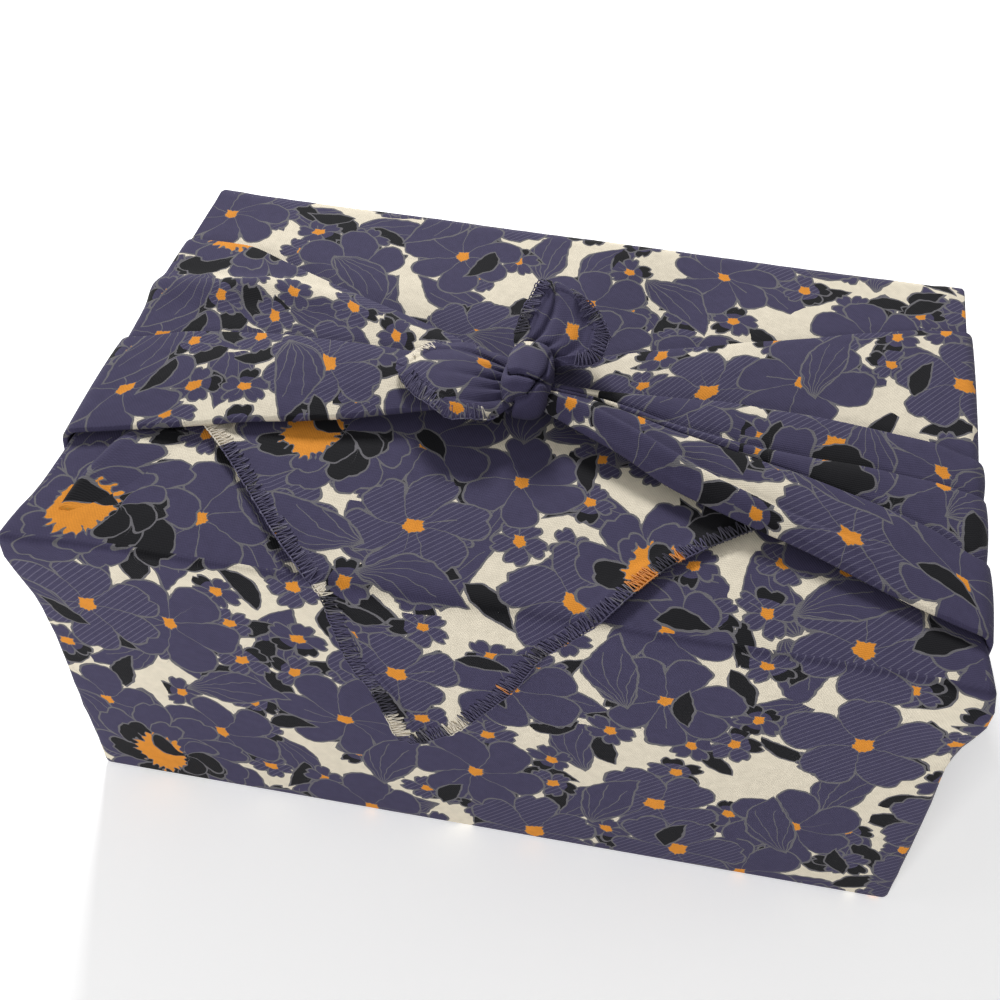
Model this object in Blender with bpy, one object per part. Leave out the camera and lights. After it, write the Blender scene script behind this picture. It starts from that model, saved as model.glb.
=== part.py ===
# A furoshiki wrap: one square cloth folded round a box-shaped space and tied on top.
# The wrap is one hollow solid. Its layers are thin sheets: the body with its open
# top, the back flap whose corner hangs over the front, the left and right bands with
# their pleats, and the knot with its two free ends. Metres, +Z up, front at -Y.
# The origin is the middle of the flat base.

import math

import bpy
import numpy as np

MM = 0.001

# The wrapped body, outside
HALF_WIDTH = 148 * MM
HALF_DEPTH = 95 * MM
BODY_TOP = 133 * MM
EDGE_ROUND = 5 * MM
PLAN_ROUND = 4 * MM

# The cloth
CLOTH = 1.4 * MM
LAYER_GAP = 0.6 * MM

# The mouth in the body's top, where the front corner of the cloth ends under the flap
MOUTH_HALF_WIDTH = 80 * MM
MOUTH_HALF_DEPTH = 22 * MM
MOUTH_Y = 52 * MM
MOUTH_ROUND = 8 * MM

# Heights of the middle of each layer
FLAP_LEVEL = BODY_TOP + LAYER_GAP + CLOTH / 2
FLAP_OUT = HALF_DEPTH + LAYER_GAP + CLOTH / 2
BAND_OUT = HALF_WIDTH + LAYER_GAP + CLOTH / 2
BAND_LEVEL = FLAP_LEVEL + CLOTH + LAYER_GAP

# Soft bulges of the body, in millimetres: middle x, y, z, reach, outward height
BULGES = (
    dict(x=-150, y=-96, z=126, reach=26, height=2.2),
    dict(x=150, y=-96, z=124, reach=22, height=2.6),
    dict(x=-60, y=-95, z=60, reach=55, height=1.0),
    dict(x=70, y=-95, z=75, reach=60, height=0.8),
    dict(x=20, y=95, z=70, reach=70, height=1.2),
    dict(x=-150, y=30, z=70, reach=50, height=0.5),
)

# The back flap, in millimetres: place of the row's middle line (y, z) and its two edges
FLAP_ROWS = (
    dict(y=94.3, z=108.0, left=-136, right=136),
    dict(y=95.0, z=118.0, left=-142, right=142),
    dict(y=96.2, z=127.0, left=-144, right=144),
    dict(y=94.6, z=132.4, left=-145, right=145),
    dict(y=89.0, z=134.3, left=-146, right=146),
    dict(y=55.0, z=134.3, left=-147, right=147),
    dict(y=22.0, z=134.4, left=-147, right=147),
    dict(y=1.0, z=134.4, left=-146, right=146),
    dict(y=-20.0, z=134.3, left=-126, right=118),
    dict(y=-39.0, z=134.3, left=-107, right=95),
    dict(y=-52.0, z=134.3, left=-94, right=73),
    dict(y=-69.0, z=134.3, left=-79, right=53),
    dict(y=-83.0, z=134.3, left=-67, right=43),
    dict(y=-90.5, z=134.3, left=-59, right=38),
    dict(y=-95.0, z=132.4, left=-54, right=34),
    dict(y=-96.6, z=127.0, left=-49, right=29),
    dict(y=-97.0, z=114.0, left=-47, right=18),
    dict(y=-97.4, z=100.0, left=-45, right=11),
    dict(y=-98.0, z=86.0, left=-34, right=2),
    dict(y=-98.4, z=72.0, left=-28, right=-8),
    dict(y=-98.2, z=60.0, left=-24, right=-16),
    dict(y=-97.8, z=54.0, left=-22.5, right=-19.5),
)
FLAP_COLUMNS = 8

# The bands, in millimetres. On the side wall each row gives its height, how far it
# stands out from the body's middle, and its back and front edges.
LEFT_WALL_ROWS = (
    dict(z=4, out=147.3, back=88, front=-88),
    dict(z=14, out=148.6, back=85, front=-85),
    dict(z=45, out=149.5, back=78, front=-78),
    dict(z=85, out=149.5, back=69, front=-69),
    dict(z=118, out=149.4, back=61, front=-62),
    dict(z=129, out=149.3, back=58, front=-59),
    dict(z=134.5, out=147.6, back=57, front=-59),
)
RIGHT_WALL_ROWS = (
    dict(z=4, out=147.3, back=88, front=-89),
    dict(z=14, out=148.6, back=86, front=-88),
    dict(z=45, out=149.5, back=80, front=-86),
    dict(z=85, out=149.6, back=73, front=-82),
    dict(z=118, out=149.5, back=68, front=-79),
    dict(z=129, out=149.3, back=66, front=-78),
    dict(z=134.5, out=147.6, back=66, front=-78),
)

# On the top each row gives x, the back edge, three fold lines and the front edge, with
# the height of each above the flap. A fold is a ridge that drops on its front side.
LEFT_TOP_ROWS = (
    dict(x=-142, back=57, first=28, second=-2, third=-30, front=-57,
         lift=0.2, first_lift=1.5, second_lift=2.2, third_lift=1.0, front_lift=0.2, drop=1.0),
    dict(x=-127, back=56, first=31, second=3, third=-24, front=-49,
         lift=0.4, first_lift=2.8, second_lift=3.2, third_lift=1.8, front_lift=0.3, drop=1.6),
    dict(x=-108, back=49, first=33, second=5, third=-18, front=-41,
         lift=0.8, first_lift=4.2, second_lift=4.4, third_lift=2.8, front_lift=0.5, drop=2.0),
    dict(x=-90, back=41, first=31, second=6, third=-14, front=-36,
         lift=1.5, first_lift=5.2, second_lift=5.6, third_lift=4.0, front_lift=0.8, drop=2.2),
    dict(x=-72, back=33, first=26, second=5, third=-11, front=-32,
         lift=2.5, first_lift=6.0, second_lift=6.8, third_lift=5.0, front_lift=1.2, drop=2.2),
    dict(x=-54, back=25, first=19, second=4, third=-9, front=-26,
         lift=3.5, first_lift=7.0, second_lift=7.8, third_lift=6.4, front_lift=2.0, drop=2.0),
    dict(x=-36, back=16, first=12, second=1, third=-9, front=-21,
         lift=4.5, first_lift=8.2, second_lift=8.8, third_lift=7.4, front_lift=3.2, drop=1.6),
    dict(x=-20, back=8, first=5, second=-3, third=-9, front=-16,
         lift=5.5, first_lift=9.0, second_lift=9.4, third_lift=8.4, front_lift=4.8, drop=1.0),
    dict(x=-7, back=3, first=0, second=-5, third=-9, front=-13,
         lift=6.5, first_lift=9.6, second_lift=10.0, third_lift=9.4, front_lift=6.0, drop=0.4),
)
RIGHT_TOP_ROWS = (
    dict(x=142, back=65, first=-3, second=-21, third=-48, front=-76,
         lift=0.2, first_lift=2.0, second_lift=1.8, third_lift=1.4, front_lift=0.2, drop=1.0),
    dict(x=125, back=59, first=2, second=-17, third=-42, front=-69,
         lift=0.4, first_lift=3.0, second_lift=2.8, third_lift=2.4, front_lift=0.4, drop=1.5),
    dict(x=100, back=51, first=3, second=-17, third=-42, front=-59,
         lift=0.8, first_lift=4.0, second_lift=4.0, third_lift=4.2, front_lift=0.8, drop=2.0),
    dict(x=77, back=43, first=4, second=-17, third=-41, front=-50,
         lift=1.4, first_lift=5.4, second_lift=5.6, third_lift=6.6, front_lift=1.8, drop=2.2),
    dict(x=55, back=33, first=1, second=-14, third=-32, front=-40,
         lift=2.4, first_lift=7.0, second_lift=7.2, third_lift=8.2, front_lift=3.0, drop=2.2),
    dict(x=36, back=24, first=-2, second=-12, third=-21, front=-31,
         lift=3.6, first_lift=8.6, second_lift=8.8, third_lift=9.4, front_lift=4.4, drop=1.8),
    dict(x=20, back=15, first=-4, second=-10, third=-15, front=-23,
         lift=5.0, first_lift=10.0, second_lift=10.0, third_lift=10.2, front_lift=5.6, drop=1.2),
    dict(x=4, back=7, first=-5, second=-8, third=-11, front=-15,
         lift=6.5, first_lift=10.6, second_lift=10.6, third_lift=10.4, front_lift=6.5, drop=0.4),
)
FOLD_STEP = 2.2  # how far in front of its ridge the foot of a fold lies, at most

# The knot: a rounded lump, in millimetres above the flap
KNOT_MIDDLE = (-3.5, -6.5, 10.5)
KNOT_HALF = (11.5, 12.5, 9.5)
KNOT_SQUARENESS = 0.75

# The free ends, in millimetres above the flap: middle of each row, its half width as a
# vector across the end, and how far its middle line arches up
SIDE_END_ROWS = (
    dict(x=-6, y=-7, z=12.0, wx=0, wy=7, wz=0.0, arch=2.0),
    dict(x=-15, y=-8, z=12.5, wx=0, wy=12, wz=0.6, arch=3.4),
    dict(x=-25, y=-9, z=12.5, wx=-1, wy=15, wz=1.2, arch=4.0),
    dict(x=-35, y=-7, z=12.0, wx=-2, wy=13.5, wz=1.2, arch=3.6),
    dict(x=-44, y=-5, z=11.5, wx=-2, wy=9, wz=0.8, arch=2.4),
    dict(x=-50, y=-4, z=11.0, wx=-1, wy=4.5, wz=0.4, arch=1.0),
)
UPPER_END_ROWS = (
    dict(x=-3, y=-2, z=15.0, wx=-8, wy=-2, wz=0.0, arch=1.5),
    dict(x=-1, y=6, z=17.5, wx=-11, wy=-1, wz=0.5, arch=3.0),
    dict(x=2, y=14, z=19.5, wx=-13.5, wy=2, wz=1.0, arch=3.6),
    dict(x=3, y=22, z=21.5, wx=-13, wy=5, wz=1.5, arch=3.2),
    dict(x=2, y=30, z=23.5, wx=-9, wy=5, wz=1.5, arch=2.0),
    dict(x=-1, y=36, z=25.0, wx=-4, wy=3, wz=0.8, arch=0.8),
)
END_COLUMNS = 6


def clear_scene():
    for obj in list(bpy.data.objects):
        bpy.data.objects.remove(obj, do_unlink=True)


def rounded_rectangle(half_x, half_y, radius, centre_y=0.0):
    # A ring of points anticlockwise from above, with the same count for every size.
    ring = []
    corners = ((1, -1, -90), (1, 1, 0), (-1, 1, 90), (-1, -1, 180))
    for index, (side_x, side_y, start) in enumerate(corners):
        centre = np.array((side_x * (half_x - radius), side_y * (half_y - radius)))
        for step in range(4):
            angle = math.radians(start + 30 * step)
            ring.append(centre + radius * np.array((math.cos(angle), math.sin(angle))))
        after = corners[(index + 1) % 4]
        end = np.array((after[0] * (half_x - radius), after[1] * (half_y - radius)))
        angle = math.radians(start + 90)
        end = end + radius * np.array((math.cos(angle), math.sin(angle)))
        count = 5 if index in (0, 2) else 9
        begin = ring[-1]
        for step in range(1, count):
            ring.append(begin + (end - begin) * step / count)
    ring = np.array(ring)
    ring[:, 1] += centre_y
    return ring


def bulge(points):
    # Pushes points outward from the body's middle where the cloth stands proud.
    moved = points.copy()
    outward = points - np.array((0, 0, BODY_TOP / 2))
    outward[:, 2] *= 0.3
    outward /= np.linalg.norm(outward, axis=1)[:, None]
    above_base = np.clip(points[:, 2] / (20 * MM), 0, 1)
    for row in BULGES:
        middle = np.array((row["x"], row["y"], row["z"])) * MM
        distance = np.linalg.norm(points - middle, axis=1) / (row["reach"] * MM)
        share = np.exp(-((1.6 * distance) ** 2)) * above_base
        moved += outward * (row["height"] * MM * share)[:, None]
    return moved


def body_rings(inset):
    # Rings from the middle of the base, up the walls and in over the top to the mouth.
    half_x = HALF_WIDTH - inset
    half_y = HALF_DEPTH - inset
    low = inset
    high = BODY_TOP - inset
    edge = EDGE_ROUND - inset
    plan = PLAN_ROUND - inset
    stations = [(55 * MM, low)]
    for degrees in (0, 30, 60, 90):
        turn = math.radians(degrees)
        stations.append((edge * (1 - math.sin(turn)), low + edge * (1 - math.cos(turn))))
    for share in (0.15, 0.35, 0.55, 0.75, 0.9):
        stations.append((0, low + share * (high - low)))
    for degrees in (0, 30, 60, 90):
        turn = math.radians(degrees)
        stations.append((edge * (1 - math.cos(turn)), high - edge * (1 - math.sin(turn))))
    rings = []
    for drawn_in, height in stations:
        radius = plan + min(drawn_in, 20 * MM)
        flat = rounded_rectangle(half_x - drawn_in, half_y - drawn_in, radius)
        rings.append(np.column_stack((flat, np.full(len(flat), height))))
    mouth = rounded_rectangle(MOUTH_HALF_WIDTH, MOUTH_HALF_DEPTH, MOUTH_ROUND, MOUTH_Y)
    mouth = np.column_stack((mouth, np.full(len(mouth), high)))
    last = rings[-1]
    for share in (0.35, 0.7, 1.0):
        rings.append(last + (mouth - last) * share)
    return [bulge(ring) for ring in rings]


def make_object(name, points, faces):
    mesh = bpy.data.meshes.new(name)
    mesh.from_pydata([tuple(point) for point in points], [], faces)
    mesh.update()
    obj = bpy.data.objects.new(name, mesh)
    bpy.context.collection.objects.link(obj)
    return obj


def make_body():
    outer = body_rings(0.0)
    inner = body_rings(CLOTH)
    rings = outer + inner[::-1]
    count = len(rings[0])
    points = np.concatenate(rings)
    faces = [tuple(reversed(range(count)))]
    for level in range(len(rings) - 1):
        here = level * count
        above = here + count
        for step in range(count):
            after = (step + 1) % count
            faces.append((here + step, here + after, above + after, above + step))
    last = (len(rings) - 1) * count
    faces.append(tuple(last + step for step in range(count)))
    return make_object("wrapped_body", points, faces)


def sheet(name, rows, thickness=CLOTH):
    # A closed sheet round a grid of points on its middle surface.
    grid = np.array(rows, float)
    along = np.gradient(grid, axis=0)
    across = np.gradient(grid, axis=1)
    normal = np.cross(along, across)
    normal /= np.linalg.norm(normal, axis=2)[:, :, None]
    height, width = grid.shape[:2]
    upper = (grid + normal * thickness / 2).reshape(-1, 3)
    lower = (grid - normal * thickness / 2).reshape(-1, 3)
    points = np.concatenate((upper, lower))
    base = height * width
    faces = []
    for i in range(height - 1):
        for j in range(width - 1):
            a = i * width + j
            b = a + 1
            c = a + width + 1
            d = a + width
            faces.append((a, d, c, b))
            faces.append((base + a, base + b, base + c, base + d))
    border = [j for j in range(width)]
    border += [i * width + width - 1 for i in range(1, height)]
    border += [(height - 1) * width + j for j in range(width - 2, -1, -1)]
    border += [i * width for i in range(height - 2, 0, -1)]
    for here, after in zip(border, border[1:] + border[:1]):
        faces.append((here, after, base + after, base + here))
    return make_object(name, points, faces)


def make_flap():
    rows = []
    for row in FLAP_ROWS:
        across = []
        for step in range(FLAP_COLUMNS + 1):
            share = step / FLAP_COLUMNS
            x = row["left"] + (row["right"] - row["left"]) * share
            across.append((x * MM, row["y"] * MM, row["z"] * MM))
        rows.append(across)
    return sheet("back_flap", rows)


def fold_section(row):
    # Points across a band, back to front: y and height, with a drop at each fold.
    step = min(FOLD_STEP, 0.25 * abs(row["second"] - row["first"]))
    drop = row["drop"]
    back, front = row["back"], row["front"]
    first, second, third = row["first"], row["second"], row["third"]
    rise = 0.6 * row["first_lift"] + 0.4 * row["lift"]
    return (
        (back, row["lift"]),
        (back - 0.5 * (back - first), rise),
        (first + 1.0, row["first_lift"]),
        (first - step, row["first_lift"] - drop),
        (0.5 * (first + second), row["second_lift"] - 0.7 * drop),
        (second + 1.0, row["second_lift"]),
        (second - step, row["second_lift"] - drop),
        (0.5 * (second + third), row["third_lift"] - 0.6 * drop),
        (third + 1.0, row["third_lift"]),
        (third - 0.45 * (third - front), 0.75 * row["third_lift"] + 0.25 * row["front_lift"]),
        (front, row["front_lift"]),
    )


def make_band(name, side, wall_rows, top_rows):
    shares = []
    start = fold_section(top_rows[0])
    back, front = start[0][0], start[-1][0]
    for y, _ in start:
        shares.append((y - back) / (front - back))
    rows = []
    for row in wall_rows:
        across = []
        for share in shares:
            y = row["back"] + (row["front"] - row["back"]) * share
            across.append((side * row["out"] * MM, y * MM, row["z"] * MM))
        rows.append(across)
    for row in top_rows:
        across = []
        for y, lift in fold_section(row):
            across.append((row["x"] * MM, y * MM, BAND_LEVEL + lift * MM))
        rows.append(across)
    if side > 0:
        rows = [across[::-1] for across in rows]
    return sheet(name, rows)


def make_knot():
    points = []
    faces = []
    around, levels = 14, 7
    centre = np.array(KNOT_MIDDLE) * MM + np.array((0, 0, FLAP_LEVEL))
    half = np.array(KNOT_HALF) * MM
    points.append(centre - np.array((0, 0, half[2])))
    for level in range(1, levels):
        tilt = math.pi * (level / levels - 0.5)
        for step in range(around):
            turn = 2 * math.pi * step / around
            way = np.array((
                math.cos(tilt) * math.cos(turn),
                math.cos(tilt) * math.sin(turn),
                math.sin(tilt),
            ))
            way = np.sign(way) * np.abs(way) ** KNOT_SQUARENESS
            points.append(centre + half * way)
    points.append(centre + np.array((0, 0, half[2])))
    for step in range(around):
        after = (step + 1) % around
        faces.append((0, 1 + after, 1 + step))
        for level in range(levels - 2):
            here = 1 + level * around
            above = here + around
            faces.append((here + step, here + after, above + after, above + step))
        here = 1 + (levels - 2) * around
        faces.append((here + step, here + after, len(points) - 1))
    return make_object("knot", points, faces)


def make_free_end(name, end_rows):
    rows = []
    for row in end_rows:
        centre = np.array((row["x"], row["y"], row["z"]))
        half = np.array((row["wx"], row["wy"], row["wz"]))
        across = []
        for step in range(END_COLUMNS + 1):
            share = 2 * step / END_COLUMNS - 1
            arch = row["arch"] * (1 - share * share)
            place = centre + half * share + np.array((0, 0, arch))
            across.append(place * MM + np.array((0, 0, FLAP_LEVEL)))
        rows.append(across)
    return sheet(name, rows, 2 * CLOTH)


def face_outward(obj):
    # Turns a closed mesh so that its volume is positive.
    mesh = obj.data
    volume = 0.0
    mesh.calc_loop_triangles()
    for triangle in mesh.loop_triangles:
        a, b, c = (mesh.vertices[index].co for index in triangle.vertices)
        volume += a.dot(b.cross(c))
    if volume < 0:
        mesh.flip_normals()


def join(base, others):
    for other in others:
        modifier = base.modifiers.new("join_" + other.name, "BOOLEAN")
        modifier.operation = "UNION"
        modifier.solver = "EXACT"
        modifier.object = other
        other.hide_render = True
        other.display_type = "WIRE"


def cloth_material():
    material = bpy.data.materials.new("printed_cotton")
    material.use_nodes = True
    shader = material.node_tree.nodes["Principled BSDF"]
    shader.inputs["Base Color"].default_value = (0.06, 0.055, 0.13, 1)
    shader.inputs["Roughness"].default_value = 0.85
    shader.inputs["Metallic"].default_value = 0.0
    return material


def build():
    clear_scene()
    body = make_body()
    pieces = [
        make_flap(),
        make_band("left_band", -1, LEFT_WALL_ROWS, LEFT_TOP_ROWS),
        make_band("right_band", 1, RIGHT_WALL_ROWS, RIGHT_TOP_ROWS),
        make_knot(),
        make_free_end("side_end", SIDE_END_ROWS),
        make_free_end("upper_end", UPPER_END_ROWS),
    ]
    for piece in [body] + pieces:
        face_outward(piece)
    body.name = "furoshiki_cloth"
    body.data.materials.append(cloth_material())
    join(body, pieces)


build()
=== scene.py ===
import math

import bmesh
import bpy
import numpy as np
from mathutils import Matrix, Vector


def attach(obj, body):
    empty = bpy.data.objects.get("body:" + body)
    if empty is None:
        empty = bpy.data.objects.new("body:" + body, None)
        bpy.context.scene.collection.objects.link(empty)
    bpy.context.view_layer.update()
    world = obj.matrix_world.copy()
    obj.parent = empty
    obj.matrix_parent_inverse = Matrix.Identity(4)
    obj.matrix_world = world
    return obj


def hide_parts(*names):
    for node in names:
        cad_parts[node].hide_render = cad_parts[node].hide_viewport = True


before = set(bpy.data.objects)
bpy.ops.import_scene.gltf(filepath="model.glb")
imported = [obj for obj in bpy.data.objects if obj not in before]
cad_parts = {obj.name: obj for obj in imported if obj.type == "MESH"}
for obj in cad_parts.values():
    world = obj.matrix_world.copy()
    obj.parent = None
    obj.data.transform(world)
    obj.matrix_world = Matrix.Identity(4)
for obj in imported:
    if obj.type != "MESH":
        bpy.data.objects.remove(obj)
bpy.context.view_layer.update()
mm = 0.001
print("frame loaded")


# the wrap's own sizes, millimetres; the origin is the middle of the flat base, the front is at -Y
wrap = dict(halfWidth=149.0, halfDepth=95.4, top=133.0, edgeRound=2.4, planRound=2.6, cloth=0.5,
            flapLevel=134.3, bandLevel=135.4, bandOut=150.0, hem=5.4, hemRise=0.5)

# where each sheet lies on the printed cloth; the back runs on into the flap
clothAt = dict(flap=40, back=69.4, band=260, corner=231.1, knot=(186.4, 103.0), sideEnd=(66.0, 201.6),
               upperEnd=(241.0, 219.0))

cameraSet = dict(place=(0.05347, -0.32998, 0.43849), yaw=7.490, rise=47.648, roll=3.191,
                 lens=46.78, shift=(-0.0632, 0.01705))


def makeCamera():
    yaw, rise, roll = (math.radians(cameraSet[k]) for k in ("yaw", "rise", "roll"))
    back = Vector((math.sin(yaw) * math.cos(rise), -math.cos(yaw) * math.cos(rise), math.sin(rise)))
    level = Vector((math.cos(yaw), math.sin(yaw), 0))
    upright = back.cross(level)
    right = level * math.cos(roll) + upright * math.sin(roll)
    up = upright * math.cos(roll) - level * math.sin(roll)
    data = bpy.data.cameras.new("camera")
    data.lens, data.sensor_width = cameraSet["lens"], 36.0
    data.shift_x, data.shift_y = cameraSet["shift"]
    data.clip_start, data.clip_end = 0.01, 20.0
    camera = bpy.data.objects.new("camera", data)
    turn = Matrix((right, up, back)).transposed().to_4x4()
    camera.matrix_world = Matrix.Translation(Vector(cameraSet["place"])) @ turn
    bpy.context.scene.collection.objects.link(camera)
    bpy.context.scene.camera = camera


lamps = (
    dict(name="topLight", place=(-0.40, 1.15, 1.00), aim=(0, 0, 0.1), size=0.34, power=24.5),
    dict(name="frontLight", place=(-0.75, -1.75, 0.80), aim=(0, 0, 0.07), size=0.45, power=16.0),
    dict(name="leftLight", place=(-1.5, -0.2, 0.6), aim=(0, 0, 0.07), size=1.0, power=2.5),
    dict(name="rightLight", place=(1.5, 0.2, 0.6), aim=(0, 0, 0.07), size=1.0, power=2.5),
)
studio = dict(sky=0.29, floorColour=(0.96, 0.96, 0.96, 1), floorReach=3.0, floorGlow=0.39)


def makeLights():
    for row in lamps:
        data = bpy.data.lights.new(row["name"], "AREA")
        data.shape, data.size, data.energy = "SQUARE", row["size"], row["power"]
        lamp = bpy.data.objects.new(row["name"], data)
        way = Vector(row["place"]) - Vector(row["aim"])
        turn = way.to_track_quat("Z", "Y").to_matrix().to_4x4()
        lamp.matrix_world = Matrix.Translation(Vector(row["place"])) @ turn
        bpy.context.scene.collection.objects.link(lamp)
    world = bpy.data.worlds.new("studioSky")
    bpy.context.scene.world = world
    world.use_nodes = True
    world.node_tree.nodes["Background"].inputs["Color"].default_value = (1, 1, 1, 1)
    world.node_tree.nodes["Background"].inputs["Strength"].default_value = studio["sky"]


def makeFloor():
    reach = studio["floorReach"]
    mesh = bpy.data.meshes.new("floor")
    mesh.from_pydata([(-reach, -reach, 0), (reach, -reach, 0), (reach, reach, 0), (-reach, reach, 0)],
                     [], [(0, 1, 2, 3)])
    floor = bpy.data.objects.new("floor", mesh)
    bpy.context.scene.collection.objects.link(floor)
    paper = bpy.data.materials.new("paleFloor")
    paper.use_nodes = True
    shader = paper.node_tree.nodes["Principled BSDF"]
    shader.inputs["Base Color"].default_value = studio["floorColour"]
    shader.inputs["Roughness"].default_value = 0.9
    shader.inputs["Emission Color"].default_value = (1, 1, 1, 1)
    shader.inputs["Emission Strength"].default_value = studio["floorGlow"]
    mesh.materials.append(paper)


makeCamera()
makeLights()
makeFloor()
bpy.context.scene.view_settings.view_transform = "Standard"
print("camera, lights and floor made")


# colours of the print, and a pale thread colour that paints a sheen highlight on the overlock stitches
ink = dict(cream=(0.70, 0.635, 0.51, 1), indigo=(0.052, 0.046, 0.093, 1), black=(0.009, 0.009, 0.011, 1),
           grey=(0.130, 0.125, 0.136, 1), orange=(0.66, 0.25, 0.029, 1), hatch=(0.112, 0.104, 0.160, 1),
           thread=(0.34, 0.32, 0.44, 1))


def nodeHand(tree):
    # short calls that add a node and hand back its output
    def feed(socket, value):
        if isinstance(value, bpy.types.NodeSocket):
            tree.links.new(value, socket)
        else:
            socket.default_value = value

    def calc(kind, *values):
        node = tree.nodes.new("ShaderNodeMath")
        node.operation = kind
        for socket, value in zip(node.inputs, values):
            feed(socket, value)
        return node.outputs[0]

    def ray(kind, *values):
        node = tree.nodes.new("ShaderNodeVectorMath")
        node.operation = kind
        for socket, value in zip(node.inputs, values):
            feed(socket, value)
        return node.outputs["Value" if kind in ("LENGTH", "DISTANCE", "DOT_PRODUCT") else "Vector"]

    def times(one, other):
        return calc("MULTIPLY", one, other)

    def mix(share, under, over, way="MIX"):
        node = tree.nodes.new("ShaderNodeMix")
        node.data_type, node.blend_type = "RGBA", way
        feed(node.inputs[0], share)
        feed(node.inputs[6], under)
        feed(node.inputs[7], over)
        return node.outputs[2]

    return feed, calc, times, ray, mix


def splitUp(tree, value):
    # the X, Y and Z of a vector
    node = tree.nodes.new("ShaderNodeSeparateXYZ")
    tree.links.new(value, node.inputs[0])
    return node.outputs


def softNoise(tree, place, scale, detail=0.0):
    # a flat noise over the cloth
    node = tree.nodes.new("ShaderNodeTexNoise")
    node.noise_dimensions = "2D"
    node.inputs["Scale"].default_value = scale
    node.inputs["Detail"].default_value = detail
    tree.links.new(place, node.inputs["Vector"])
    return node.outputs


def newGroup(name, inputs, outputs, sort="Shader"):
    # a node group; its sockets are numbers unless a kind follows the colon
    tree = bpy.data.node_groups.new(name, sort + "NodeTree")
    for way, titles in (("INPUT", inputs), ("OUTPUT", outputs)):
        for title in titles.split():
            title, _, kind = title.partition(":")
            tree.interface.new_socket(title, in_out=way, socket_type="NodeSocket" + (kind or "Float"))
    return tree, tree.nodes.new("NodeGroupInput").outputs, tree.nodes.new("NodeGroupOutput").inputs


def petalGroup():
    # one flower on flat cloth, millimetres; Pick is a chance number for each petal
    inputs = "Place:Vector Petals Radius Turn Valley Full Notch Bend Heart Seed Pen"
    tree, give, take = newGroup("flowerPrint", inputs, "Body Line Heart Pick Reach")
    feed, calc, times, ray, _ = nodeHand(tree)
    x, y, _ = splitUp(tree, give["Place"])
    radius = ray("LENGTH", give["Place"])
    away = calc("DIVIDE", radius, give["Radius"])
    bearing = calc("ARCTAN2", y, x)
    angle = calc("ADD", bearing, calc("MULTIPLY_ADD", away, give["Bend"], give["Turn"]))
    step = times(angle, calc("DIVIDE", give["Petals"], 2 * math.pi))
    number = calc("FLOORED_MODULO", calc("FLOOR", step), give["Petals"])
    across = calc("ABSOLUTE", calc("SUBTRACT", calc("FRACT", step), 0.5))
    chance = tree.nodes.new("ShaderNodeTexWhiteNoise")
    chance.noise_dimensions = "2D"
    pair = tree.nodes.new("ShaderNodeCombineXYZ")
    feed(pair.inputs[0], number)
    feed(pair.inputs[1], give["Seed"])
    feed(chance.inputs["Vector"], pair.outputs[0])
    pick = chance.outputs["Value"]
    length = times(give["Radius"], calc("MULTIPLY_ADD", pick, 0.16, 0.84))
    u = times(across, 2.0)
    dome = calc("SQRT", calc("MAXIMUM", calc("SUBTRACT", 1.0, calc("POWER", u, give["Full"])), 0.0016))
    rest = calc("SUBTRACT", 1.0, give["Valley"])
    edge = times(length, calc("MULTIPLY_ADD", dome, rest, give["Valley"]))
    dent = calc("MAXIMUM", calc("MULTIPLY_ADD", across, -9.0, 1.0), 0.0)
    edge = calc("SUBTRACT", edge, times(times(dent, length), give["Notch"]))
    apart = calc("SUBTRACT", edge, radius)
    swing = times(times(times(length, rest), u), give["Petals"])
    slope = calc("DIVIDE", swing, times(times(dome, radius), math.pi))
    apart = calc("DIVIDE", apart, calc("SQRT", calc("MULTIPLY_ADD", slope, slope, 1.0)))
    body = calc("GREATER_THAN", apart, 0.0)
    rim = calc("LESS_THAN", calc("ABSOLUTE", apart), give["Pen"])
    turnWidth = calc("DIVIDE", times(radius, 2 * math.pi), give["Petals"])
    side = times(calc("SUBTRACT", 0.5, across), turnWidth)
    seam = calc("LESS_THAN", side, times(give["Pen"], 0.42))
    offset = calc("MULTIPLY_ADD", pick, 0.3, calc("SUBTRACT", across, 0.15))
    middle = times(calc("ABSOLUTE", offset), turnWidth)
    short = calc("LESS_THAN", away, calc("MULTIPLY_ADD", pick, 0.4, 0.35))
    some = times(short, calc("GREATER_THAN", pick, 0.45))
    vein = times(calc("LESS_THAN", middle, times(give["Pen"], 0.36)), some)
    line = times(calc("MAXIMUM", seam, vein), body)
    square = calc("MAXIMUM", calc("ABSOLUTE", x), calc("ABSOLUTE", y))
    uneven = calc("MULTIPLY_ADD", calc("SINE", times(bearing, 5.0)), 0.10, 0.62)
    uneven = calc("MULTIPLY_ADD", calc("SINE", times(bearing, 13.0)), 0.06, uneven)
    heartWay = calc("MULTIPLY_ADD", square, 0.45, times(radius, uneven))
    heart = calc("LESS_THAN", heartWay, give["Heart"])
    ring = calc("LESS_THAN", heartWay, calc("MULTIPLY_ADD", give["Pen"], 0.9, give["Heart"]))
    feed(take["Body"], body)
    feed(take["Line"], calc("MAXIMUM", calc("MAXIMUM", line, rim), ring))
    feed(take["Heart"], heart)
    feed(take["Pick"], pick)
    feed(take["Reach"], away)
    return tree


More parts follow.
